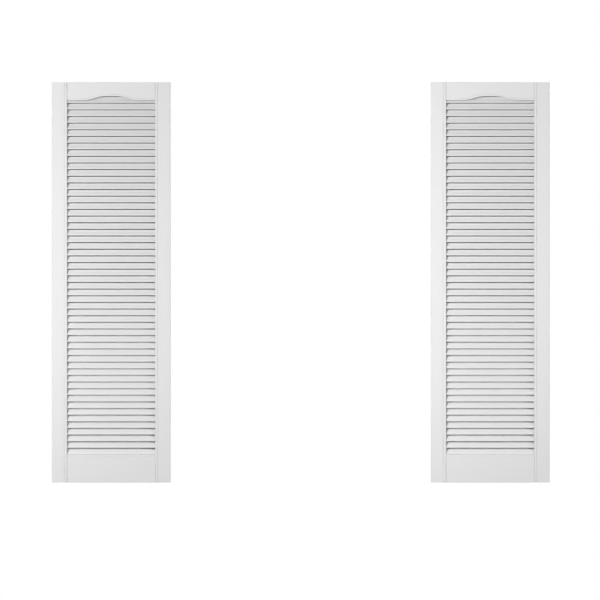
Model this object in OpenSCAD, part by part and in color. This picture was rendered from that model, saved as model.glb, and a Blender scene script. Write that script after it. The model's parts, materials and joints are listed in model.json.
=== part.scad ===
// A pair of fixed louvred window shutters in moulded vinyl, with arched top rails.
// Each shutter is two channel stiles, two rails, one louvre panel and four end caps,
// and stands either side of a window with its back edges flat against the wall.
// X runs along the wall, Y runs from the front of the shutters (-Y) to the wall plane at Y = 0,
// and Z is up. The origin is on the wall plane, midway between the shutters, at half their height.

/* [Shutter] */
// Width of one shutter
shutter_w = 368.3; // [300:0.1:460]
// Height of one shutter
shutter_h = 1244.6; // [900:0.1:1600]
// Depth of a shutter, from its face to the wall
shutter_t = 28.6; // [23:0.1:38]
// Clear distance between the two shutters
window_w = 810; // [500:1:1800]

/* [Stiles] */
// Width of a stile
stile_w = 47.2; // [38:0.1:70]
// Thickness of the stile's face
stile_skin = 2.4; // [1.8:0.1:3]
// Thickness of the stile's side walls
stile_wall = 2.2; // [1.6:0.1:3]
// Width of the bead along the bay
bead_w = 6.9; // [4:0.1:9]
// Width of the groove beside a bead
groove_w = 1.9; // [0.8:0.1:2.5]
// Depth of the groove beside a bead
groove_deep = 1.4; // [0.6:0.1:1.4]
// Rounding of the long outer edge
edge_r = 2.2; // [0.5:0.1:2.4]
// Distance between the cross ribs in the channel
stile_rib_pitch = 96; // [60:1:150]

/* [Rails] */
// Height of the top rail beside the arch
top_rail_h = 56.1; // [46:0.1:90]
// Height of the bottom rail
bottom_rail_h = 86.8; // [60:0.1:140]
// Rise of the arch above the rail's straight edge
arch_rise = 12.4; // [6:0.1:18]
// Half the width of the arch
arch_half_w = 89; // [60:1:100]
// Half the width of the arch's level crown
crown_half_w = 14; // [4:1:36]
// Width of the bead along the arch
arch_bead_w = 5.3; // [4:0.1:8]
// Width of the bead on the bottom rail
sill_bead_w = 9.4; // [4:0.1:12]
// Depth of the groove under that bead
sill_groove_deep = 0.4; // [0.3:0.1:1.2]
// Thickness of a rail's face and walls
rail_wall = 2.4; // [1.8:0.1:3]
// Gap between a rail's end and the stile
rail_gap = 0.3; // [0.2:0.1:0.6]
// Distance between the ribs behind a rail
rail_rib_pitch = 45; // [30:1:80]

/* [Louvres] */
// Distance from one louvre to the next
louvre_pitch = 20.63; // [17:0.01:26]
// Height of the slot between two louvres
slot_h = 2.8; // [2:0.1:4]
// Height of a louvre's upright nose
nose_h = 2.7; // [2:0.1:4]
// Distance of the noses behind the shutter's face
nose_deep = 3.5; // [3.2:0.1:6]
// Run of a louvre's slope, from front to back
slope_run = 11.5; // [6:0.1:12]
// Wall of the louvre panel
louvre_wall = 1.6; // [1.2:0.1:2]
// Distance of the panel's back from the wall
panel_back_gap = 2.6; // [1:0.1:4]
// Height of the panel behind the rail, above the arch's crown
panel_cover = 8; // [4:0.5:12]
// Height of the tail behind the bottom rail
tail_h = 18; // [10:0.5:30]
// Distance of the tail behind the noses
tail_step = 1.5; // [1:0.1:4]
// Number of hollow bays between the panel's upright webs
web_bays = 4; // [2:1:6]

/* [Fixing] */
// Outer diameter of a fixing post
post_d = 14; // [11:0.5:18]
// Diameter of the blind hole in a fixing post
post_hole_d = 6.5; // [4:0.1:8]
// Distance of the end posts from the stile's ends
post_inset = 76; // [50:1:120]
// Clearance between snapped parts
fit_gap = 0.3; // [0.2:0.05:0.4]
// Height of a snap tab
tab_h = 10; // [6:0.5:12]
// Thickness of a snap tab
tab_t = 2; // [1.5:0.1:2.5]
// Distance of the snap tabs from the panel's back
tab_inset = 4; // [3.5:0.1:6]
// Distance between the snap tabs of the louvre panel
tab_pitch = 150; // [100:5:200]
// Depth of an end cap's plug
cap_plug = 6; // [4:0.5:9]

/* [Hidden] */

LEFT = -1;
RIGHT = 1;
TOP = 1;
BOTTOM = -1;
VINYL = [0.90, 0.90, 0.89];
$fn = 48;
arc_steps = 6;
// How far a cutter passes the face that it cuts, and how far a rib runs into its wall
cut = 1;
sunk = 0.5;
rib_t = 1.8;
cap_wall = 1.8;
// Distance that ribs keep from the tabs and from the panel's back, and rails from the panel's ends
rib_clear = 2;
end_clear = 1;
// Roundings: the bead at the bay and at its groove, the groove's far edge, a louvre's nose and brow
bay_r = 2.2;
lip_r = 0.8;
groove_edge = 0.4;
nose_r = 0.7;
brow_r = 1.2;

// Heights are measured from the middle of the shutter, depths from its face
half_h = shutter_h / 2;
bay_half = shutter_w / 2 - stile_w;
bay_bottom = -half_h + bottom_rail_h;
rail_edge = half_h - top_rail_h;
crown_z = rail_edge + arch_rise;
shutter_x = (window_w + shutter_w) / 2;

// Louvre section: nose, slope, ledge, riser
panel_base = bay_bottom + fit_gap;
panel_top = crown_z + panel_cover;
panel_half = bay_half - fit_gap;
back_deep = shutter_t - panel_back_gap;
riser_deep = back_deep - louvre_wall;
slope_deep = nose_deep + slope_run;
ledge_z = louvre_pitch - slot_h;
slope_rise = ledge_z - nose_h;
slope_len = norm([slope_run, slope_rise]);
louvre_count = ceil((panel_top - panel_base) / louvre_pitch);
tail_deep = nose_deep + tail_step;

// Snap tabs stand off the ends of the rails and the panel and catch behind the stile's bay wall
tab_deep = back_deep - tab_inset - tab_t;
barb_h = 0.9;
barb_len = 2.6;
barb_x = bay_half + stile_wall + fit_gap;
panel_tabs = max(2, floor((panel_top - panel_base) / tab_pitch));
panel_tab_z = [
    for (i = [0:panel_tabs - 1])
        panel_base + floor((i + 0.5) * louvre_count / panel_tabs) * louvre_pitch + ledge_z / 2
];
top_wall_low = panel_top + end_clear;
sill_wall_high = panel_base - tail_h - end_clear;
top_tab_z = [(top_wall_low + half_h - cap_plug - rail_wall) / 2];
sill_tab_z = [
    for (share = [0.3, 0.8]) -half_h + share * (sill_wall_high + half_h)
];

stile_rib_deep = tab_deep - rib_clear;
rail_rib_deep = back_deep - rib_clear;
post_x = (shutter_w - stile_w + bead_w + groove_w) / 2;
post_z = [-half_h + post_inset, 0, half_h - post_inset];

// Points along an arc, ends included
function arc(centre, r, from, to, steps) =
    [for (i = [0:steps]) let (a = from + (to - from) * i / steps) centre + r * [cos(a), sin(a)]];

// Each side of the arch is two equal tangent arcs: one off the level crown, and a reversed one
// at the foot. The argument "up" moves the whole curve up from the rail's lower edge.
arch_run = arch_half_w - crown_half_w;
arch_angle = 2 * atan(arch_rise / arch_run);
arch_r = arch_run / sin(arch_angle) / 2;
function foot_arc(up) =
    arc([arch_half_w, rail_edge + arch_r], arch_r - up, 270, 270 - arch_angle, 2 * arc_steps);
function crown_arc(up) =
    arc([crown_half_w, crown_z - arch_r], arch_r + up, 90 - arch_angle, 90, 2 * arc_steps);
function without_first(points) = [for (i = [1:len(points) - 1]) points[i]];
function reversed(points) = [for (i = [len(points) - 1:-1:0]) points[i]];
function flipped(points) = [for (p = reversed(points)) [-p[0], p[1]]];
function arch_side(up) = concat(foot_arc(up), without_first(crown_arc(up)));
function arch_curve(up, half_w) = concat(
    [[half_w, rail_edge + up]],
    arch_side(up),
    flipped(arch_side(up)),
    [[-half_w, rail_edge + up]]
);

// Moves a shutter's own drawing to its place on the wall
module on_wall(side) {
    translate([side * shutter_x, -shutter_t, 0]) children();
}

// Extrudes an outline drawn in (X, Z) from one depth to another
module facing(from, to) {
    translate([0, to, 0]) rotate([90, 0, 0]) linear_extrude(to - from) children();
}

// Extrudes an outline drawn in (depth, Z) from one X to another
module across(from, to) {
    translate([from, 0, 0]) rotate([90, 0, 90]) linear_extrude(to - from) children();
}

// Extrudes an outline drawn in (X, depth) from one height to another
module upright(from, to) {
    translate([0, 0, from]) linear_extrude(to - from) children();
}

// Tabs with a barb, standing off an end wall at x = root
module snap_tabs(root, heights) {
    tip = barb_x + barb_len;
    for (z = heights)
        upright(z - tab_h / 2, z + tab_h / 2)
            polygon([
                [root - cut, tab_deep],
                [tip, tab_deep],
                [tip, tab_deep + tab_t / 2],
                [barb_x, tab_deep + tab_t + barb_h],
                [barb_x, tab_deep + tab_t],
                [root - cut, tab_deep + tab_t]
            ]);
}

// The slots in the stile's bay wall that take the tabs
module tab_slots(heights) {
    for (z = heights)
        translate([bay_half - cut, tab_deep - fit_gap, z - tab_h / 2 - fit_gap])
            cube([stile_wall + 2 * cut, tab_t + barb_h + 2 * fit_gap, tab_h + 2 * fit_gap]);
}

// Section of a stile in (X, depth): rounded bead at the bay, groove, flat face, rounded outer edge
module stile_section() {
    outer_x = shutter_w / 2;
    bead_x = bay_half + bead_w;
    face_x = bead_x + groove_w;
    polygon(concat(
        [[bay_half, shutter_t]],
        arc([bay_half + bay_r, bay_r], bay_r, 180, 270, arc_steps),
        arc([bead_x - lip_r, lip_r], lip_r, 270, 360, arc_steps),
        [
            [bead_x, groove_deep],
            [face_x, groove_deep],
            [face_x, groove_edge],
            [face_x + groove_edge, 0]
        ],
        arc([outer_x - edge_r, edge_r], edge_r, 270, 360, arc_steps),
        [[outer_x, shutter_t]]
    ));
}

// One stile at +X of the shutter's middle
module stile() {
    channel_w = stile_w - 2 * stile_wall;
    ribs = floor((shutter_h - 2 * cap_plug) / stile_rib_pitch) - 1;
    rib_z = [for (i = [0:ribs - 1]) (i - (ribs - 1) / 2) * stile_rib_pitch];
    difference() {
        union() {
            difference() {
                upright(-half_h, half_h) stile_section();
                translate([bay_half + stile_wall, stile_skin, -half_h - cut])
                    cube([channel_w, shutter_t, shutter_h + 2 * cut]);
            }
            for (z = rib_z)
                translate([bay_half + stile_wall - sunk, stile_skin - sunk, z])
                    cube([channel_w + 2 * sunk, stile_rib_deep - stile_skin + sunk, rib_t]);
            for (z = post_z)
                translate([post_x, stile_skin - sunk, z]) rotate([-90, 0, 0])
                    cylinder(d = post_d, h = shutter_t - stile_skin + sunk);
        }
        for (z = post_z)
            translate([post_x, stile_skin, z]) rotate([-90, 0, 0])
                cylinder(d = post_hole_d, h = shutter_t);
        tab_slots(concat(panel_tab_z, top_tab_z, sill_tab_z));
    }
}

// Ribs behind a rail, standing between two heights
module rail_ribs(low, high) {
    half = bay_half - rail_gap;
    count = floor(2 * half / rail_rib_pitch);
    step = 2 * half / (count + 1);
    for (i = [1:count])
        translate([-half + i * step - rib_t / 2, rail_wall - sunk, low])
            cube([rib_t, rail_rib_deep - rail_wall + sunk, high - low]);
}

// End walls of a rail, with their snap tabs
module rail_ends(low, high, heights) {
    half = bay_half - rail_gap;
    for (side = [0, 1]) mirror([side, 0, 0]) {
        translate([half - rail_wall, 0, low]) cube([rail_wall, shutter_t, high - low]);
        snap_tabs(half, heights);
    }
}

module top_rail(side) {
    half = bay_half - rail_gap;
    color(VINYL) on_wall(side) {
        difference() {
            facing(0, rail_wall)
                polygon(concat([[-half, half_h], [half, half_h]], arch_curve(0, half)));
            facing(-cut, groove_deep)
                polygon(concat(
                    arch_curve(arch_bead_w, half + cut),
                    reversed(arch_curve(arch_bead_w + groove_w, half + cut))
                ));
        }
        translate([-half, 0, half_h - rail_wall]) cube([2 * half, shutter_t, rail_wall]);
        rail_ribs(top_wall_low, half_h);
        rail_ends(top_wall_low, half_h, top_tab_z);
    }
}

module bottom_rail(side) {
    half = bay_half - rail_gap;
    groove_z = bay_bottom - sill_bead_w;
    color(VINYL) on_wall(side) {
        difference() {
            translate([-half, 0, -half_h]) cube([2 * half, rail_wall, bottom_rail_h]);
            translate([-half - cut, -cut, groove_z - groove_w])
                cube([2 * half + 2 * cut, cut + sill_groove_deep, groove_w]);
        }
        translate([-half, 0, -half_h]) cube([2 * half, shutter_t, rail_wall]);
        rail_ribs(-half_h, sill_wall_high);
        rail_ends(-half_h, sill_wall_high, sill_tab_z);
    }
}

// Front line of one louvre in (depth, height above its own underside)
function louvre_front() =
    let (lean = atan2(slope_rise, slope_run))
    let (brow = [nose_deep + brow_r, nose_h - brow_r * tan((90 - lean) / 2)])
    concat(
        arc([nose_deep + nose_r, nose_r], nose_r, 270, 180, 3),
        arc(brow, brow_r, 180, 90 + lean, 3),
        [[slope_deep, ledge_z], [riser_deep, ledge_z], [riser_deep, louvre_pitch]]
    );

// Hollow behind one louvre, open to the back
function louvre_hollow() =
    let (w = louvre_wall)
    let (foot = nose_h - w * slope_run / slope_len)
    let (rise = slope_rise / slope_run)
    let (start = nose_deep + w * slope_rise / slope_len)
    [
        [back_deep + cut, w],
        [nose_deep + w, w],
        [nose_deep + w, foot + (nose_deep + w - start) * rise],
        [start + (ledge_z - w - foot) / rise, ledge_z - w],
        [back_deep + cut, ledge_z - w]
    ];

function stacked(points) = [
    for (i = [0:louvre_count - 1]) for (p = points) [p[0], p[1] + panel_base + i * louvre_pitch]
];

// The panel is a run of pleats, solid at its upright webs and hollow between them
module louvre_panel(side) {
    web_t = louvre_wall;
    bay_w = (2 * panel_half - (web_bays + 1) * web_t) / web_bays;
    full_top = panel_base + louvre_count * louvre_pitch;
    color(VINYL) on_wall(side) {
        difference() {
            across(-panel_half, panel_half)
                polygon(concat(
                    [[tail_deep, panel_base - tail_h], [tail_deep, panel_base]],
                    stacked(louvre_front()),
                    [
                        [back_deep, full_top],
                        [back_deep, panel_base],
                        [tail_deep + louvre_wall, panel_base],
                        [tail_deep + louvre_wall, panel_base - tail_h]
                    ]
                ));
            for (i = [0:web_bays - 1])
                across(-panel_half + web_t + i * (bay_w + web_t), -panel_half + (i + 1) * (bay_w + web_t))
                    polygon(concat(
                        stacked(louvre_hollow()),
                        [[back_deep + 2 * cut, full_top], [back_deep + 2 * cut, panel_base]]
                    ));
            translate([-panel_half - cut, 0, panel_top])
                cube([2 * panel_half + 2 * cut, shutter_t, louvre_pitch + cut]);
        }
        for (end = [0, 1]) mirror([end, 0, 0]) snap_tabs(panel_half, panel_tab_z);
    }
}

// A stile in its place: side picks the shutter, end the stile's own side of it
module shutter_stile(side, end) {
    color(VINYL) on_wall(side) mirror([end < 0 ? 1 : 0, 0, 0]) stile();
}

// A plug that closes one end of a stile's channel: a plate flush with the end, and a short skirt
module cap(side, end, level) {
    cap_w = stile_w - 2 * stile_wall - 2 * fit_gap;
    cap_deep = shutter_t - stile_skin - fit_gap;
    color(VINYL) on_wall(side) mirror([end < 0 ? 1 : 0, 0, 0]) mirror([0, 0, level < 0 ? 1 : 0])
        translate([bay_half + stile_wall + fit_gap, stile_skin + fit_gap, half_h - cap_plug])
            difference() {
                cube([cap_w, cap_deep, cap_plug]);
                translate([cap_wall, cap_wall, -cut])
                    cube([cap_w - 2 * cap_wall, cap_deep - 2 * cap_wall, cap_plug - cap_wall + cut]);
            }
}

shutter_stile(LEFT, LEFT);  // left_outer_stile
shutter_stile(LEFT, RIGHT);  // left_inner_stile
top_rail(LEFT);  // left_top_rail
bottom_rail(LEFT);  // left_bottom_rail
louvre_panel(LEFT);  // left_louvre_panel
cap(LEFT, LEFT, TOP);  // left_outer_cap_top
cap(LEFT, LEFT, BOTTOM);  // left_outer_cap_bottom
cap(LEFT, RIGHT, TOP);  // left_inner_cap_top
cap(LEFT, RIGHT, BOTTOM);  // left_inner_cap_bottom
shutter_stile(RIGHT, RIGHT);  // right_outer_stile
shutter_stile(RIGHT, LEFT);  // right_inner_stile
top_rail(RIGHT);  // right_top_rail
bottom_rail(RIGHT);  // right_bottom_rail
louvre_panel(RIGHT);  // right_louvre_panel
cap(RIGHT, RIGHT, TOP);  // right_outer_cap_top
cap(RIGHT, RIGHT, BOTTOM);  // right_outer_cap_bottom
cap(RIGHT, LEFT, TOP);  // right_inner_cap_top
cap(RIGHT, LEFT, BOTTOM);  // right_inner_cap_bottom
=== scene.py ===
"""A pair of fixed louvred window shutters in white moulded vinyl.

Each shutter is two channel stiles, an arched top rail, a bottom rail, one louvre panel and four
end caps. Every piece is modelled on the left shutter and copied to the right one.
Lengths are in metres. X runs along the wall, Y into it, and Z is up. While a piece is modelled,
x is measured from the left shutter's middle and depth goes back from the shutters' faces.
"""
import json
import math

import bmesh
import bpy
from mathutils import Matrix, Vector


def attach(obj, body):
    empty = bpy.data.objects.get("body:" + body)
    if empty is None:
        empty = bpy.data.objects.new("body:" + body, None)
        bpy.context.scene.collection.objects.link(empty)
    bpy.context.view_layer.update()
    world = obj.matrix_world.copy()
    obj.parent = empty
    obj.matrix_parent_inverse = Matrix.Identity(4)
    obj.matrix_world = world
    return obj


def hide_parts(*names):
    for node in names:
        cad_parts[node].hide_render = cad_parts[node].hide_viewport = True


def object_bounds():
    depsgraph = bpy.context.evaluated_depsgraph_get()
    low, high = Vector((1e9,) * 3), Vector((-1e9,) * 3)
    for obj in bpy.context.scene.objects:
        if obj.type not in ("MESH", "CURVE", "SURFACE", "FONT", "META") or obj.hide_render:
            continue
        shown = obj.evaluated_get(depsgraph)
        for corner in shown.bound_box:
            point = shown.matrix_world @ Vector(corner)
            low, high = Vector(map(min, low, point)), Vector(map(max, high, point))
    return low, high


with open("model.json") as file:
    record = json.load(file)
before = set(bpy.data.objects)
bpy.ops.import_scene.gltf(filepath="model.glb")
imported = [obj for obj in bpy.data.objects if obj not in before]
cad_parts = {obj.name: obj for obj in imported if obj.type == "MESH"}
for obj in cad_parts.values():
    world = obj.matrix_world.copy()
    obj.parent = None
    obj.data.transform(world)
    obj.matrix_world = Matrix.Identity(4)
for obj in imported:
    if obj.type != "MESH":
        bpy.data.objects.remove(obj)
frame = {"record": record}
cad_low, cad_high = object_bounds()

# ---------------------------------------------------------------- sizes

MM = 0.001
TINY = 1e-5                     # points nearer to each other than this are one point
SUNK = 0.5 * MM                 # how far a part goes into the one that it is fused to

# Stiles
SHUTTER_W = 368.3 * MM
STILE_W = 47.2 * MM
STILE_SKIN = 2.4 * MM           # thickness of the face
STILE_WALL = 2.2 * MM           # thickness of the side walls
BEAD_W = 6.9 * MM
GROOVE_W = 1.9 * MM
GROOVE_DEEP = 1.4 * MM
STILE_RIB_PITCH = 96 * MM
RIB_T = 1.8 * MM
RIB_CLEAR = 2 * MM

# Fixing posts, blind from the back
POST_D = 14 * MM
POST_HOLE_D = 6.5 * MM
POST_INSET = 76 * MM
ROD_SIDES = 32

# Rails
TOP_RAIL_H = 56.1 * MM
BOTTOM_RAIL_H = 86.8 * MM
ARCH_RISE = 12.4 * MM
ARCH_HALF_W = 89 * MM
CROWN_HALF_W = 14 * MM          # the level stretch in the middle of the arch
ARCH_BEAD_W = 5.3 * MM
ARCH_STEPS = 14                 # steps in each of the arch's four bends
STRIP_SPARE = 2 * MM            # what the swept edge has above its groove
SILL_BEAD_W = 9.4 * MM
SILL_GROOVE_DEEP = 0.4 * MM
RAIL_WALL = 2.4 * MM
RAIL_RIBS = 6

# Louvre panel
LOUVRE_PITCH = 20.63 * MM
SLOT_H = 2.8 * MM
NOSE_H = 2.7 * MM
NOSE_DEEP = 3.5 * MM            # how far the noses stand behind the shutter's face
SLOPE_RUN = 11.5 * MM
LOUVRE_WALL = 1.6 * MM
PANEL_BACK_GAP = 2.6 * MM
PANEL_COVER = 8 * MM            # what the top rail covers of the panel above its arch
TAIL_H = 18 * MM                # what the bottom rail covers
TAIL_STEP = 1.5 * MM
WEB_BAYS = 4

# Snap tabs and end caps
FIT_GAP = 0.3 * MM
TAB_H = 10 * MM
TAB_T = 2 * MM
TAB_INSET = 4 * MM
PANEL_TABS = 7
SILL_TAB_SHARES = (0.3, 0.8)    # where on the bottom rail's end walls, from below
BARB_H = 0.9 * MM
BARB_LEN = 2.6 * MM
CAP_PLUG = 6 * MM
CAP_WALL = 1.8 * MM
END_CLEAR = 1 * MM

# Rounded edges
EDGE_R = 2.2 * MM               # a stile's edge away from the bay
BAY_R = 2.2 * MM                # a stile's edge along the bay
LIP_R = 0.8 * MM                # a bead's edge at its groove
GROOVE_EDGE = 0.4 * MM          # a groove's other edge
RAIL_R = 0.5 * MM               # a rail's other long edges
SILL_R = 1.6 * MM               # the bottom rail's upper edge
JOIN_EDGE = 0.8 * MM            # a rail's ends, where they meet the stiles
NOSE_R = 0.7 * MM               # under a louvre's nose
BROW_R = 0.45 * MM              # between the nose and the slope
LEDGE_R = 0.5 * MM              # between the slope and the ledge
CAP_R = 0.5 * MM                # round an end cap's plate

# How faces and edges are told apart
FACING = 0.9                    # least share of a normal along the axis that a face looks along
RISING = 0.8                    # the same for the arch's upper side, which leans
NEARLY = 0.1 * MM               # how far off the middle of a leaning face may lie
SHORT_EDGE = 2 * MM
SMOOTH_ANGLE = math.radians(38)  # faces that meet more sharply than this show an edge

# The CAD model's box gives the outer sizes and the two shutters' places
FACE_Y = cad_low.y
WALL_Y = cad_high.y
SHUTTER_T = WALL_Y - FACE_Y
HALF_H = (cad_high.z - cad_low.z) / 2
LEFT_X = cad_low.x + SHUTTER_W / 2
RIGHT_X = cad_high.x - SHUTTER_W / 2
TO_RIGHT = RIGHT_X - LEFT_X

# Derived widths, heights and depths
BAY_HALF = SHUTTER_W / 2 - STILE_W
BAY_BOTTOM = -HALF_H + BOTTOM_RAIL_H
RAIL_EDGE = HALF_H - TOP_RAIL_H
CROWN_Z = RAIL_EDGE + ARCH_RISE
RAIL_HALF = BAY_HALF - FIT_GAP
PANEL_BASE = BAY_BOTTOM + FIT_GAP
PANEL_TOP = CROWN_Z + PANEL_COVER
BACK_DEEP = SHUTTER_T - PANEL_BACK_GAP
RISER_DEEP = BACK_DEEP - LOUVRE_WALL
SLOPE_DEEP = NOSE_DEEP + SLOPE_RUN
LEDGE_Z = LOUVRE_PITCH - SLOT_H
LOUVRES = math.ceil((PANEL_TOP - PANEL_BASE) / LOUVRE_PITCH)
TAIL_DEEP = NOSE_DEEP + TAIL_STEP
TAB_DEEP = BACK_DEEP - TAB_INSET - TAB_T
BARB_X = BAY_HALF + STILE_WALL + FIT_GAP
PANEL_TAB_Z = [
    PANEL_BASE + math.floor((i + 0.5) * LOUVRES / PANEL_TABS) * LOUVRE_PITCH + LEDGE_Z / 2
    for i in range(PANEL_TABS)
]
TOP_WALL_LOW = PANEL_TOP + END_CLEAR
SILL_WALL_HIGH = PANEL_BASE - TAIL_H - END_CLEAR
TOP_TAB_Z = [(TOP_WALL_LOW + HALF_H - CAP_PLUG - RAIL_WALL) / 2]
SILL_TAB_Z = [-HALF_H + share * (SILL_WALL_HIGH + HALF_H) for share in SILL_TAB_SHARES]
POST_X = (SHUTTER_W - STILE_W + BEAD_W + GROOVE_W) / 2
POST_Z = (-HALF_H + POST_INSET, 0, HALF_H - POST_INSET)


# ---------------------------------------------------------------- modelling steps

def place(x, deep, z):
    """A point from its distance from the left shutter's middle, its depth and its height."""
    return Vector((LEFT_X + x, FACE_Y + deep, z))


def near(a, b, reach=3 * TINY):
    return abs(a - b) < reach


def drop_selection():
    bpy.ops.object.select_all(action="DESELECT")


def make_active(piece):
    drop_selection()
    piece.select_set(True)
    bpy.context.view_layer.objects.active = piece


def add_block(name, low, high):
    """A box between two corners, given as (x, depth, height)."""
    low, high = place(*low), place(*high)
    drop_selection()
    bpy.ops.mesh.primitive_cube_add(size=1, location=(low + high) / 2, scale=high - low)
    block = bpy.context.object
    block.name = name
    bpy.ops.object.transform_apply(location=True, rotation=True, scale=True)
    return block


def add_rod(name, x, z, width, low_deep, high_deep):
    """A round rod that stands along the depth."""
    drop_selection()
    bpy.ops.mesh.primitive_cylinder_add(
        vertices=ROD_SIDES, radius=width / 2, depth=high_deep - low_deep,
        location=place(x, (low_deep + high_deep) / 2, z), rotation=(math.pi / 2, 0, 0))
    rod = bpy.context.object
    rod.name = name
    bpy.ops.object.transform_apply(location=True, rotation=True, scale=True)
    return rod


def pick(kind, wanted):
    """Selects the active mesh's faces, edges or points that pass a test of (middle, item), and
    returns how many. The middle is (x, depth, height) from the left shutter's middle."""
    piece = bpy.context.object
    bpy.ops.mesh.select_mode(type={"faces": "FACE", "edges": "EDGE", "verts": "VERT"}[kind])
    bpy.ops.mesh.select_all(action="DESELECT")
    cage = bmesh.from_edit_mesh(piece.data)
    count = 0
    for item in getattr(cage, kind):
        points = [item.co] if kind == "verts" else [v.co for v in item.verts]
        middle = sum(points, Vector()) / len(points)
        spot = (middle.x - LEFT_X, middle.y - FACE_Y, middle.z)
        if wanted(spot, item):
            item.select_set(True)
            count += 1
    cage.select_flush_mode()
    bmesh.update_edit_mesh(piece.data)
    return count


def start_edit(piece):
    make_active(piece)
    bpy.ops.object.mode_set(mode="EDIT")


def end_edit():
    bpy.ops.object.mode_set(mode="OBJECT")


def push_back(deep):
    bpy.ops.transform.translate(value=(0, deep, 0))


def pull_out(x=0, deep=0, z=0):
    bpy.ops.mesh.extrude_region_move(TRANSFORM_OT_translate={"value": (x, deep, z)})


def cut_at(axis, where, selected=False):
    """Cuts the mesh, or only what is selected, across one axis."""
    if not selected:
        bpy.ops.mesh.select_all(action="SELECT")
    spot = [0, 0, 0]
    spot[axis] = where
    normal = [0, 0, 0]
    normal[axis] = 1
    bpy.ops.mesh.bisect(plane_co=place(*spot), plane_no=normal)


def round_edges(wanted, width, steps):
    if pick("edges", wanted):
        bpy.ops.mesh.bevel(offset_type="OFFSET", offset=width, segments=steps,
                           affect="EDGES", clamp_overlap=True)


def open_ends(axis, ends):
    """Deletes the faces that lie across an axis at its two ends."""
    pick("faces", lambda spot, f: any(near(spot[axis], end) for end in ends)
         and abs(f.normal[axis]) > FACING)
    bpy.ops.mesh.delete(type="FACE")


def close_ends(axis, ends):
    """Closes the open outline at each end with one face."""
    for end in ends:
        pick("edges", lambda spot, e: e.is_boundary
             and all(near((v.co - place(0, 0, 0))[axis], end) for v in e.verts))
        bpy.ops.mesh.edge_face_add()


def merge_doubles():
    bpy.ops.mesh.select_all(action="SELECT")
    bpy.ops.mesh.remove_doubles(threshold=TINY)


def stack_up(piece, count, pitch):
    """Repeats the active piece upwards and merges the repeats where they meet."""
    stack = piece.modifiers.new("stack", "ARRAY")
    stack.count = count
    stack.use_relative_offset = False
    stack.use_constant_offset = True
    stack.constant_offset_displace = (0, 0, pitch)
    stack.use_merge_vertices = True
    stack.merge_threshold = TINY
    bpy.ops.object.modifier_apply(modifier=stack.name)


def combine(piece, parts, how):
    """Fuses parts onto a piece or carves them out of it, all in one go."""
    make_active(parts[0])
    for part in parts[1:]:
        part.select_set(True)
    if len(parts) > 1:
        bpy.ops.object.join()
    tool = bpy.context.object
    make_active(piece)
    step = piece.modifiers.new("step", "BOOLEAN")
    step.operation = how
    step.solver = "EXACT"
    step.object = tool
    bpy.ops.object.modifier_apply(modifier=step.name)
    bpy.data.objects.remove(tool)


def fuse(piece, parts):
    combine(piece, parts, "UNION")


def carve(piece, parts):
    combine(piece, parts, "DIFFERENCE")


def tidy(piece):
    """Merges doubles, turns the faces outwards and sets the shading."""
    start_edit(piece)
    merge_doubles()
    bpy.ops.mesh.normals_make_consistent(inside=False)
    end_edit()
    bpy.ops.object.shade_smooth_by_angle(angle=SMOOTH_ANGLE)
    return piece


def copy_piece(piece, name, shift=0.0, turned=""):
    """Copies a piece with its own mesh, moved along X, or turned over about the left
    shutter's middle along x, z or both."""
    make_active(piece)
    bpy.ops.object.duplicate(linked=False)
    twin = bpy.context.object
    twin.name = name
    bpy.ops.object.mode_set(mode="EDIT")
    bpy.ops.mesh.select_all(action="SELECT")
    if turned:
        bpy.ops.transform.resize(value=[-1 if axis in turned else 1 for axis in "xyz"],
                                 center_override=place(0, 0, 0))
        bpy.ops.mesh.normals_make_consistent(inside=False)
    if shift:
        bpy.ops.transform.translate(value=(shift, 0, 0))
    end_edit()
    return twin


def add_tab(root, z):
    """A flat tab on an end wall, with a barb that catches behind the stile's bay wall."""
    tip = BARB_X + BARB_LEN
    tab = add_block("tab", (root - SUNK, TAB_DEEP, z - TAB_H / 2),
                    (tip, TAB_DEEP + TAB_T, z + TAB_H / 2))
    start_edit(tab)
    cut_at(0, BARB_X)
    pick("faces", lambda spot, f: f.normal.y > FACING and spot[0] > BARB_X)
    pull_out(deep=BARB_H)
    # The barb runs down to a thin edge at the tip
    middle_deep = TAB_DEEP + TAB_T / 2
    pick("verts", lambda spot, v: near(spot[0], tip) and spot[1] > middle_deep)
    bpy.ops.transform.resize(value=(1, 0, 1), center_override=place(0, middle_deep, z))
    merge_doubles()
    end_edit()
    return tab


def add_tabs(root, heights):
    """Tabs at both ends of a rail or of the panel."""
    tabs = [add_tab(root, z) for z in heights]
    return tabs + [copy_piece(tab, "tab", turned="x") for tab in tabs]


# ---------------------------------------------------------------- stiles

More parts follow.
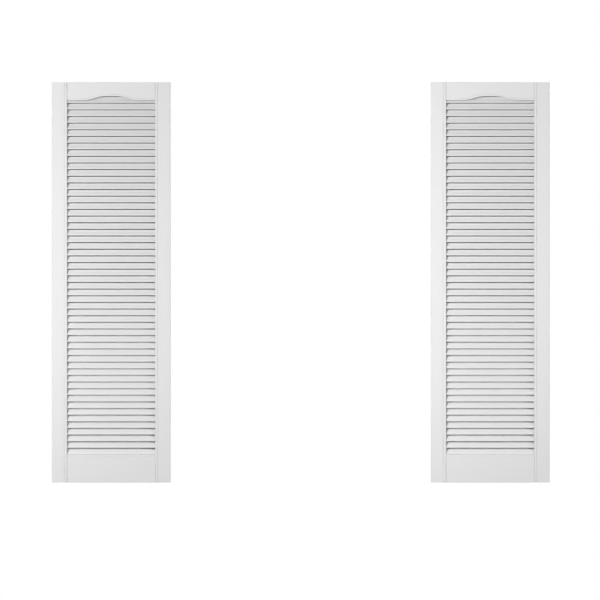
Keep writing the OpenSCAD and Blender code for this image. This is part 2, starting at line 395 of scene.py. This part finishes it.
def make_stile(name):
    """The left shutter's inner stile: a channel with a bead and a groove along the bay."""
    outer_x = SHUTTER_W / 2
    bead_x = BAY_HALF + BEAD_W
    face_x = bead_x + GROOVE_W
    channel = (BAY_HALF + STILE_WALL, outer_x - STILE_WALL)
    ends = (-HALF_H, HALF_H)
    stile = add_block(name, (BAY_HALF, 0, -HALF_H), (outer_x, SHUTTER_T, HALF_H))
    start_edit(stile)
    open_ends(2, ends)
    for x in (*channel, bead_x, face_x):
        cut_at(0, x)
    pick("faces", lambda spot, f: near(spot[1], 0) and bead_x < spot[0] < face_x)
    pull_out(deep=GROOVE_DEEP)
    pick("faces", lambda spot, f: near(spot[1], SHUTTER_T) and channel[0] < spot[0] < channel[1])
    pull_out(deep=STILE_SKIN - SHUTTER_T)
    open_ends(2, ends)

    def long_edge(x):
        return lambda spot, e: near(spot[0], x) and near(spot[1], 0) and near(spot[2], 0)

    round_edges(long_edge(BAY_HALF), BAY_R, 6)
    round_edges(long_edge(bead_x), LIP_R, 4)
    round_edges(long_edge(face_x), GROOVE_EDGE, 2)
    round_edges(long_edge(outer_x), EDGE_R, 6)
    close_ends(2, ends)
    end_edit()

    ribs = math.floor((2 * HALF_H - 2 * CAP_PLUG) / STILE_RIB_PITCH) - 1
    lowest = -STILE_RIB_PITCH * (ribs - 1) / 2
    shelf = add_block("rib", (channel[0] - SUNK, STILE_SKIN - SUNK, lowest),
                      (channel[1] + SUNK, TAB_DEEP - RIB_CLEAR, lowest + RIB_T))
    stack_up(shelf, ribs, STILE_RIB_PITCH)
    fuse(stile, [shelf])
    fuse(stile, [add_rod("post", POST_X, z, POST_D, STILE_SKIN - SUNK, SHUTTER_T)
                 for z in POST_Z])
    slots = [
        add_block("slot", (BAY_HALF - SUNK, TAB_DEEP - FIT_GAP, z - TAB_H / 2 - FIT_GAP),
                  (channel[0] + SUNK, TAB_DEEP + TAB_T + BARB_H + FIT_GAP, z + TAB_H / 2 + FIT_GAP))
        for z in PANEL_TAB_Z + TOP_TAB_Z + SILL_TAB_Z
    ]
    bores = [add_rod("bore", POST_X, z, POST_HOLE_D, STILE_SKIN, SHUTTER_T + SUNK)
             for z in POST_Z]
    carve(stile, slots + bores)
    return tidy(stile)


# ---------------------------------------------------------------- rails

def raise_walls(edge, wall_end):
    """Draws a rail's long wall, at its outer edge, and its end walls, which stop at wall_end,
    back from its face to the wall plane."""
    inside = edge - math.copysign(RAIL_WALL, edge)
    shoulder = RAIL_HALF - RAIL_WALL
    for z in (inside, wall_end):
        cut_at(2, z)
    for x in (-shoulder, shoulder):
        cut_at(0, x)
    pick("faces", lambda spot, f: f.normal.y > FACING and near(spot[1], RAIL_WALL)
         and (abs(spot[2]) > abs(inside)
              or abs(spot[0]) > shoulder and abs(spot[2]) > abs(wall_end)))
    pull_out(deep=SHUTTER_T - RAIL_WALL)


def add_ribs(rail, edge, wall_end, tab_heights):
    """Ribs between a rail's long wall and its free side, and the tabs on its end walls."""
    inside = edge - math.copysign(RAIL_WALL - SUNK, edge)
    low, high = sorted((inside, wall_end))
    step = 2 * RAIL_HALF / (RAIL_RIBS + 1)
    fuse(rail, [
        add_block("rib", (-RAIL_HALF + i * step - RIB_T / 2, RAIL_WALL - SUNK, low),
                  (-RAIL_HALF + i * step + RIB_T / 2, BACK_DEEP - RIB_CLEAR, high))
        for i in range(1, RAIL_RIBS + 1)
    ])
    fuse(rail, add_tabs(RAIL_HALF, tab_heights))


def groove_strip(low, high, deep, ends):
    """Sinks a groove along the front of a block with open ends, and opens the groove's ends."""
    cut_at(2, low)
    cut_at(2, high)
    pick("faces", lambda spot, f: near(spot[1], 0) and low < spot[2] < high)
    pull_out(deep=deep)
    open_ends(0, ends)


def front_edge(z):
    """The front edges that run level at one height."""
    return lambda spot, e: near(spot[1], 0) and near(spot[2], z)


def end_edge(low, high):
    """The front upright edges at both ends of a rail, between two heights."""
    return lambda spot, e: near(abs(spot[0]), RAIL_HALF) and near(spot[1], 0) \
        and all(low < v.co.z < high for v in e.verts) and e.calc_length() > SHORT_EDGE


def sweep_over_arch():
    """Draws the strip's inner end along the arch and on to the rail's other end."""
    run = ARCH_HALF_W - CROWN_HALF_W
    bend = 2 * math.atan(ARCH_RISE / run)
    bend_r = run / math.sin(bend) / 2

    def sweep(x, z, angle):
        bpy.ops.mesh.spin(steps=ARCH_STEPS, angle=angle, center=place(x, 0, z), axis=(0, 1, 0))

    # Two equal and opposite bends rise to the level crown, and two more come down
    pick("faces", lambda spot, f: near(spot[0], ARCH_HALF_W) and abs(f.normal.x) > FACING)
    sweep(ARCH_HALF_W, RAIL_EDGE + bend_r, -bend)
    sweep(CROWN_HALF_W, CROWN_Z - bend_r, bend)
    pull_out(x=-2 * CROWN_HALF_W)
    sweep(-CROWN_HALF_W, CROWN_Z - bend_r, bend)
    sweep(-ARCH_HALF_W, RAIL_EDGE + bend_r, -bend)
    pull_out(x=ARCH_HALF_W - RAIL_HALF)
    merge_doubles()
    bpy.ops.mesh.select_all(action="DESELECT")
    bpy.ops.mesh.select_interior_faces()
    bpy.ops.mesh.delete(type="FACE")


def make_top_rail(name):
    """The moulded edge is swept over the arch, then its top is drawn up to the rail's top."""
    ends = (ARCH_HALF_W, RAIL_HALF)
    bead_z = RAIL_EDGE + ARCH_BEAD_W
    strip_top = bead_z + GROOVE_W + STRIP_SPARE
    rail = add_block(name, (ARCH_HALF_W, 0, RAIL_EDGE), (RAIL_HALF, RAIL_WALL, strip_top))
    start_edit(rail)
    open_ends(0, ends)
    groove_strip(bead_z, bead_z + GROOVE_W, GROOVE_DEEP, ends)
    round_edges(front_edge(RAIL_EDGE), RAIL_R, 3)
    round_edges(front_edge(bead_z), LIP_R, 4)
    round_edges(front_edge(bead_z + GROOVE_W), GROOVE_EDGE, 2)
    close_ends(0, ends)
    sweep_over_arch()

    pick("faces", lambda spot, f: f.normal.z > RISING and near(spot[1], RAIL_WALL / 2, NEARLY)
         and abs(spot[0]) < RAIL_HALF - TINY)
    pull_out(z=HALF_H - CROWN_Z)
    bpy.ops.transform.resize(value=(1, 1, 0), center_override=place(0, 0, HALF_H))
    raise_walls(HALF_H, TOP_WALL_LOW)
    round_edges(front_edge(HALF_H), RAIL_R, 2)
    round_edges(end_edge(bead_z + GROOVE_W - MM, HALF_H + MM), JOIN_EDGE, 2)
    end_edit()
    add_ribs(rail, HALF_H, TOP_WALL_LOW, TOP_TAB_Z)
    return tidy(rail)


def make_bottom_rail(name):
    """A plain face with a bead along its upper edge and a shallow groove below the bead."""
    ends = (-RAIL_HALF, RAIL_HALF)
    groove_z = BAY_BOTTOM - SILL_BEAD_W
    rail = add_block(name, (-RAIL_HALF, 0, -HALF_H), (RAIL_HALF, RAIL_WALL, BAY_BOTTOM))
    start_edit(rail)
    open_ends(0, ends)
    groove_strip(groove_z - GROOVE_W, groove_z, SILL_GROOVE_DEEP, ends)
    round_edges(front_edge(BAY_BOTTOM), SILL_R, 5)
    round_edges(front_edge(groove_z), RAIL_R, 3)
    round_edges(front_edge(groove_z - GROOVE_W), GROOVE_EDGE, 2)
    close_ends(0, ends)
    raise_walls(-HALF_H, SILL_WALL_HIGH)
    round_edges(front_edge(-HALF_H), RAIL_R, 2)
    round_edges(end_edge(-HALF_H - MM, groove_z - GROOVE_W + MM), JOIN_EDGE, 2)
    end_edit()
    add_ribs(rail, -HALF_H, SILL_WALL_HIGH, SILL_TAB_Z)
    return tidy(rail)


# ---------------------------------------------------------------- louvres

def sink_hollows(base):
    """Sinks a hollow from the back of a louvre into each bay between the upright webs."""
    wall = LOUVRE_WALL
    low_z = base + wall
    high_z = base + LEDGE_Z - wall
    bay_w = (2 * RAIL_HALF - (WEB_BAYS + 1) * wall) / WEB_BAYS
    bays = [(-RAIL_HALF + wall + i * (bay_w + wall), -RAIL_HALF + (i + 1) * (bay_w + wall))
            for i in range(WEB_BAYS)]

    def at_back(spot, f):
        return near(spot[1], BACK_DEEP)

    def between_walls(spot, f):
        return at_back(spot, f) and low_z < spot[2] < high_z

    pick("faces", at_back)
    bpy.ops.mesh.dissolve_faces()
    for z in (low_z, high_z):
        pick("faces", at_back)
        cut_at(2, z, selected=True)
    for x in [side for bay in bays for side in bay]:
        pick("faces", between_walls)
        cut_at(0, x, selected=True)

    # The hollow's front stays one wall behind the nose below and the slope above
    front = NOSE_DEEP + wall
    slope_rise = LEDGE_Z - NOSE_H
    slope_len = math.hypot(SLOPE_RUN, slope_rise)
    foot_z = NOSE_H - wall * SLOPE_RUN / slope_len
    foot_deep = NOSE_DEEP + wall * slope_rise / slope_len
    top_front = foot_deep + (LEDGE_Z - wall - foot_z) * SLOPE_RUN / slope_rise
    pick("faces", lambda spot, f: between_walls(spot, f)
         and any(low < spot[0] < high for low, high in bays))
    pull_out(deep=front - BACK_DEEP)
    pick("edges", lambda spot, e: near(spot[1], front) and near(spot[2], high_z))
    push_back(top_front - front)


def add_louvre(name, base):
    """One louvre: a nose, a slope, a ledge, and a riser that is open where the next one joins."""
    louvre = add_block(name, (-RAIL_HALF, NOSE_DEEP, base), (RAIL_HALF, BACK_DEEP, base + LEDGE_Z))
    start_edit(louvre)
    cut_at(2, base + NOSE_H)
    pick("edges", lambda spot, e: near(spot[1], NOSE_DEEP) and near(spot[2], base + LEDGE_Z))
    push_back(SLOPE_RUN)
    cut_at(1, RISER_DEEP)

    def across(spot, f):
        return abs(f.normal.z) > FACING and spot[1] > RISER_DEEP

    pick("faces", lambda spot, f: across(spot, f) and near(spot[2], base + LEDGE_Z))
    pull_out(z=SLOT_H)
    pick("faces", across)
    bpy.ops.mesh.delete(type="FACE")
    sink_hollows(base)

    def front_line(deep, z):
        return lambda spot, e: near(spot[1], deep) and near(spot[2], base + z) \
            and near(spot[0], 0) and e.calc_length() > RAIL_HALF

    round_edges(front_line(NOSE_DEEP, 0), NOSE_R, 3)
    round_edges(front_line(NOSE_DEEP, NOSE_H), BROW_R, 3)
    round_edges(front_line(SLOPE_DEEP, LEDGE_Z), LEDGE_R, 2)
    end_edit()
    return louvre


def make_louvres(name):
    """One louvre stacked up the bay and trimmed behind the arch, with a tail and snap tabs."""
    base = PANEL_BASE
    panel = add_louvre(name, base)
    stack_up(panel, LOUVRES, LOUVRE_PITCH)
    start_edit(panel)
    bpy.ops.mesh.select_all(action="SELECT")
    bpy.ops.mesh.bisect(plane_co=place(0, 0, PANEL_TOP), plane_no=(0, 0, 1),
                        use_fill=True, clear_outer=True)
    close_ends(2, (base,))
    bpy.ops.mesh.select_all(action="SELECT")
    bpy.ops.mesh.normals_make_consistent(inside=False)
    end_edit()
    fuse(panel, [add_block("tail", (-RAIL_HALF, TAIL_DEEP, base - TAIL_H),
                           (RAIL_HALF, TAIL_DEEP + LOUVRE_WALL, base + SUNK))])
    fuse(panel, add_tabs(RAIL_HALF, PANEL_TAB_Z))
    return tidy(panel)


# ---------------------------------------------------------------- caps

def make_cap(name):
    """The plug at the top of the left shutter's inner stile: a plate with a short skirt."""
    low_x = BAY_HALF + STILE_WALL + FIT_GAP
    high_x = SHUTTER_W / 2 - STILE_WALL - FIT_GAP
    cap = add_block(name, (low_x, STILE_SKIN + FIT_GAP, HALF_H - CAP_PLUG),
                    (high_x, SHUTTER_T, HALF_H))
    start_edit(cap)
    pick("faces", lambda spot, f: f.normal.z < -FACING)
    bpy.ops.mesh.inset(thickness=CAP_WALL)
    pull_out(z=CAP_PLUG - CAP_WALL)
    round_edges(lambda spot, e: near(spot[2], HALF_H), CAP_R, 3)
    end_edit()
    return tidy(cap)


def make_left_shutter():
    """Returns {CAD node's own name: piece} for the left shutter."""
    stile = make_stile("stile_left_inner")
    cap = make_cap("cap_left_inner_top")
    return {
        "inner_stile": stile,
        "outer_stile": copy_piece(stile, "stile_left_outer", turned="x"),
        "top_rail": make_top_rail("rail_left_top"),
        "bottom_rail": make_bottom_rail("rail_left_bottom"),
        "louvre_panel": make_louvres("louvres_left"),
        "inner_cap_top": cap,
        "inner_cap_bottom": copy_piece(cap, "cap_left_inner_bottom", turned="z"),
        "outer_cap_top": copy_piece(cap, "cap_left_outer_top", turned="x"),
        "outer_cap_bottom": copy_piece(cap, "cap_left_outer_bottom", turned="xz"),
    }


# ---------------------------------------------------------------- finishes

WHITE = (0.76, 0.76, 0.76)
LIGHTEST = 1.035                # of the tint
DARKEST = 0.90
SHADE_MIDDLE = 0.32             # where plain vinyl lies between the lightest and the darkest
SHADE_GAIN = -3.0
SATIN = 0.43                    # roughness of plain vinyl
VINYL_IOR = 1.49
VINYL_SHINE = 0.42
EMBOSS_STRENGTH = 0.55
EMBOSS_DEEP = 0.22 * MM
SWAY = 14 * MM                  # how far the grain wanders from the straight

# The grain's rates in turns a metre, across it and along it
BOARD = (28.0, 1.6)
BANDS = (190.0, 6.0)
FIBRES = (900.0, 16.0)
PORES = (1500.0, 42.0)
MOTTLE_RATE = 420.0
SWAY_RATE = 7.0
PORE_STEP = (0.60, 0.72)        # noise below this has no pore, and above it a full one
FRONT_FADE = (-0.35, 0.05)      # a face's normal along Y, where the grain starts and ends to fade

# What each part of the grain adds
TO_SHADE = {"board": 0.05, "bands": 0.11, "fibres": 0.07, "pores": -0.06, "mottle": 0.012}
TO_ROUGHNESS = {"mottle": 0.10, "pores": 0.12, "bands": -0.10}
TO_HEIGHT = {"bands": 0.35, "fibres": 0.55, "pores": -0.6, "mottle": 0.10}


class Wire:
    """One output of a finish's node. Arithmetic on it adds Math nodes."""

    def __init__(self, finish, socket):
        self.finish = finish
        self.socket = socket

    def worked(self, operation, first, second):
        return self.finish.add("Math", {"operation": operation}, {0: first, 1: second})

    def __add__(self, other):
        return self.worked("ADD", self, other)

    def __sub__(self, other):
        return self.worked("SUBTRACT", self, other)

    def __rsub__(self, other):
        return self.worked("SUBTRACT", other, self)

    def __mul__(self, other):
        return self.worked("MULTIPLY", self, other)

    __radd__ = __add__
    __rmul__ = __mul__


class Finish:
    """A procedural material."""

    def __init__(self, name):
        self.material = bpy.data.materials.new(name)
        self.material.use_nodes = True
        self.tree = self.material.node_tree
        self.tree.nodes.clear()

    def add(self, kind, settings=None, sockets=None, out=0):
        """Adds a node, sets it, then fills or links its sockets. Returns the output asked for."""
        node = self.tree.nodes.new("ShaderNode" + kind)
        for key, value in (settings or {}).items():
            setattr(node, key, value)
        for key, value in (sockets or {}).items():
            if isinstance(value, Wire):
                self.tree.links.new(value.socket, node.inputs[key])
            else:
                node.inputs[key].default_value = value
        return Wire(self, node.outputs[out]) if len(node.outputs) else None

    def ramp(self, value, low, high, to_low=0.0, to_high=1.0):
        """A soft step from one value to another."""
        return self.add("MapRange", {"interpolation_type": "SMOOTHSTEP"},
                        {0: value, 1: low, 2: high, 3: to_low, 4: to_high})

    def streaks(self, spot, rates, grain, detail=2.0, roughness=0.5):
        """Noise drawn out along the grain, at its rates across and along."""
        across, along = rates
        scale = [along if axis == grain else across for axis in "xyz"]
        drawn = self.add("Mapping", None, {"Vector": spot, "Scale": scale})
        return self.add("TexNoise", None, {"Vector": drawn, "Scale": 1.0, "Detail": detail,
                                           "Roughness": roughness})

    def mixed(self, share, first, second):
        return self.add("Mix", {"data_type": "RGBA"}, {0: share, 6: first, 7: second}, out=2)


def moulded_vinyl(name, tint, grain, relief=1.0):
    """White satin vinyl. Faces turned to the front carry an embossed wood grain that runs along
    one axis; the back is plain."""
    finish = Finish(name)
    spot = finish.add("TexCoord", out="Object")
    normal = finish.add("NewGeometry", out="Normal")
    turned = finish.add("SeparateXYZ", None, {0: normal}, out="Y")
    front = finish.ramp(turned, *FRONT_FADE, 1.0, 0.0)

    sway = finish.add("TexNoise", None, {"Vector": spot, "Scale": SWAY_RATE, "Detail": 1.0},
                      out="Color")
    sway = finish.add("VectorMath", {"operation": "SCALE"}, {0: sway, 3: SWAY})
    bent = finish.add("VectorMath", {"operation": "ADD"}, {0: spot, 1: sway})

    board = finish.streaks(bent, BOARD, grain)
    bands = finish.streaks(bent, BANDS, grain, detail=3.0, roughness=0.6)
    fibres = finish.streaks(bent, FIBRES, grain, detail=3.0, roughness=0.65)
    pores = finish.ramp(finish.streaks(bent, PORES, grain), *PORE_STEP)
    mottle = finish.add("TexNoise", None, {"Vector": spot, "Scale": MOTTLE_RATE, "Detail": 2.0})

    shade = (board - 0.5) * TO_SHADE["board"] + (bands - 0.5) * TO_SHADE["bands"] \
        + (fibres - 0.5) * TO_SHADE["fibres"] + pores * TO_SHADE["pores"]
    shade = front * shade + (mottle - 0.5) * TO_SHADE["mottle"]
    light = [min(1.0, c * LIGHTEST) for c in tint] + [1.0]
    dark = [c * DARKEST for c in tint] + [1.0]
    colour = finish.mixed(shade * SHADE_GAIN + SHADE_MIDDLE, light, dark)

    sheen = SATIN + (mottle - 0.5) * TO_ROUGHNESS["mottle"] \
        + front * (pores * TO_ROUGHNESS["pores"] + (bands - 0.5) * TO_ROUGHNESS["bands"])
    height = front * (bands * TO_HEIGHT["bands"] + fibres * TO_HEIGHT["fibres"]
                      + pores * TO_HEIGHT["pores"]) + mottle * TO_HEIGHT["mottle"]
    bump = finish.add("Bump", None, {"Strength": EMBOSS_STRENGTH * relief,
                                     "Distance": EMBOSS_DEEP, "Height": height})
    vinyl = finish.add("BsdfPrincipled", None, {
        "Base Color": colour, "Roughness": sheen, "Normal": bump,
        "IOR": VINYL_IOR, "Specular IOR Level": VINYL_SHINE,
    })
    finish.add("OutputMaterial", None, {0: vinyl})
    return finish.material


def paint(piece, material):
    piece.data.materials.clear()
    piece.data.materials.append(material)


FINISHES = {
    "stile_vinyl": moulded_vinyl("stile_vinyl", WHITE, "z"),
    "rail_vinyl": moulded_vinyl("rail_vinyl", WHITE, "x"),
    "louvre_vinyl": moulded_vinyl("louvre_vinyl", WHITE, "x"),
    "cap_vinyl": moulded_vinyl("cap_vinyl", WHITE, "y", relief=0.5),
}


# ---------------------------------------------------------------- both shutters

def finish_piece(piece, node, slot):
    """Keeps wide flat faces flat-shaded up to their rounded edges, then paints the piece and puts
    it in its CAD node's place."""
    make_active(piece)
    level = piece.modifiers.new("level", "WEIGHTED_NORMAL")
    level.keep_sharp = True
    bpy.ops.object.modifier_apply(modifier=level.name)
    paint(piece, FINISHES[slot])
    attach(piece, "root")
    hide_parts(node)


SLOT_OF = {p["node"]: p["material_slot"] for p in frame["record"]["subparts"]}
left_shutter = make_left_shutter()
right_shutter = {
    part: copy_piece(piece, piece.name.replace("left", "right"), shift=TO_RIGHT)
    for part, piece in left_shutter.items()
}
for side, shutter in (("left", left_shutter), ("right", right_shutter)):
    for part, piece in shutter.items():
        node = f"{side}_{part}"
        finish_piece(piece, node, SLOT_OF[node])


# ---------------------------------------------------------------- stage, light and camera

FLOOR_Z = cad_low.z - 0.43
FLOOR_R = 1.04
FLOOR_SIDES = 96
FLOOR_TONE = (0.86, 0.86, 0.86, 1)
FADE_FROM = 0.5                 # share of the floor's radius at which its rim starts to fade
CAMERA_AWAY = 50.0
VIEW_W = 1.8650                 # width of what the camera sees at the shutters' faces
CAMERA_X = -0.0023
CAMERA_Z = -0.0548
SENSOR_W = 36.0
AMBIENT = 0.05                  # strength of the light from all round

# Azimuth and elevation in degrees, distance and width in metres, power in watts
FRONT_LAMPS = (
    ("key", -25, 15, 6.0, 0.7, 157),
    ("upper", -36, 24, 1.6, 0.3, 6.2),
    ("lower", -38, -14, 1.4, 0.25, 6.6),
    ("right_side", 50, -12, 2.1, 0.4, 14),
    ("right_top", 75, 50, 2.1, 0.4, 5),
)
BACK_LAMPS = (
    ("back_left", 215, 25, 4.0, 1.2, 52),
    ("back_right", 145, 25, 4.0, 1.2, 52),
)
FLOOR_LAMP = ("floor_lamp", 0, 80, 3.0, 1.5, 70)


def make_floor():
    """A pale round floor whose rim fades into the white around it."""
    drop_selection()
    bpy.ops.mesh.primitive_circle_add(vertices=FLOOR_SIDES, radius=FLOOR_R, fill_type="NGON",
                                      location=(0, 0, FLOOR_Z))
    floor = bpy.context.object
    floor.name = "floor"
    bpy.ops.object.transform_apply(location=True, rotation=True, scale=True)
    pale = Finish("pale_floor")
    spot = pale.add("TexCoord", out="Object")
    flat = pale.add("VectorMath", {"operation": "MULTIPLY"}, {0: spot, 1: (1, 1, 0)})
    away = pale.add("VectorMath", {"operation": "LENGTH"}, {0: flat}, out="Value")
    matt = pale.add("BsdfDiffuse", None, {"Color": FLOOR_TONE})
    clear = pale.add("BsdfTransparent")
    fade = pale.ramp(away, FADE_FROM * FLOOR_R, FLOOR_R)
    pale.add("OutputMaterial", None, {0: pale.add("MixShader", None, {0: fade, 1: matt, 2: clear})})
    paint(floor, pale.material)
    floor.visible_diffuse = False
    floor.visible_glossy = False
    return floor


def make_world(ambient):
    """White behind everything, and a softer white light from all round."""
    world = bpy.data.worlds.new("studio")
    bpy.context.scene.world = world
    world.use_nodes = True
    nodes, links = world.node_tree.nodes, world.node_tree.links
    nodes.clear()
    seen = nodes.new("ShaderNodeBackground")
    around = nodes.new("ShaderNodeBackground")
    around.inputs["Strength"].default_value = ambient
    rays = nodes.new("ShaderNodeLightPath")
    both = nodes.new("ShaderNodeMixShader")
    out = nodes.new("ShaderNodeOutputWorld")
    for background in (seen, around):
        background.inputs["Color"].default_value = (1, 1, 1, 1)
    links.new(rays.outputs["Is Camera Ray"], both.inputs[0])
    links.new(around.outputs[0], both.inputs[1])
    links.new(seen.outputs[0], both.inputs[2])
    links.new(both.outputs[0], out.inputs[0])


def add_lamp(name, azimuth, elevation, away, size, power, aim, lit=None):
    """A square soft lamp turned to a point. Given pieces to light, it lights them alone."""
    a, e = math.radians(azimuth), math.radians(elevation)
    back = Vector((math.sin(a) * math.cos(e), -math.cos(a) * math.cos(e), math.sin(e)))
    lamp = bpy.data.objects.new(name, bpy.data.lights.new(name, "AREA"))
    bpy.context.scene.collection.objects.link(lamp)
    lamp.data.shape = "SQUARE"
    lamp.data.size = size
    lamp.data.energy = power
    lamp.location = aim + back * away
    lamp.rotation_euler = back.to_track_quat("Z", "Y").to_euler()
    lamp.visible_camera = False
    if lit:
        group = bpy.data.collections.new(name + "_lights")
        for piece in lit:
            group.objects.link(piece)
        lamp.light_linking.receiver_collection = group


def make_camera():
    """Level with the shutters and far off, so that the view is nearly square on."""
    camera = bpy.data.objects.new("camera", bpy.data.cameras.new("camera"))
    bpy.context.scene.collection.objects.link(camera)
    camera.location = (CAMERA_X, FACE_Y - CAMERA_AWAY, CAMERA_Z)
    camera.rotation_euler = (math.pi / 2, 0, 0)
    camera.data.sensor_width = SENSOR_W
    camera.data.lens = SENSOR_W * CAMERA_AWAY / VIEW_W
    camera.data.clip_end = 4 * CAMERA_AWAY
    bpy.context.scene.camera = camera


floor = make_floor()
make_world(AMBIENT)
# Each shutter has front lamps of its own, so that the two look alike
for side, middle_x, shutter in (("left", LEFT_X, left_shutter), ("right", RIGHT_X, right_shutter)):
    for name, *settings in FRONT_LAMPS:
        add_lamp(f"{side}_{name}", *settings, aim=Vector((middle_x, FACE_Y, 0)),
                 lit=shutter.values())
for lamp in BACK_LAMPS:
    add_lamp(*lamp, aim=Vector((0, WALL_Y, 0)))
add_lamp(*FLOOR_LAMP, aim=Vector((0, 0, FLOOR_Z)), lit=[floor])
bpy.context.scene.view_settings.view_transform = "Standard"
make_camera()
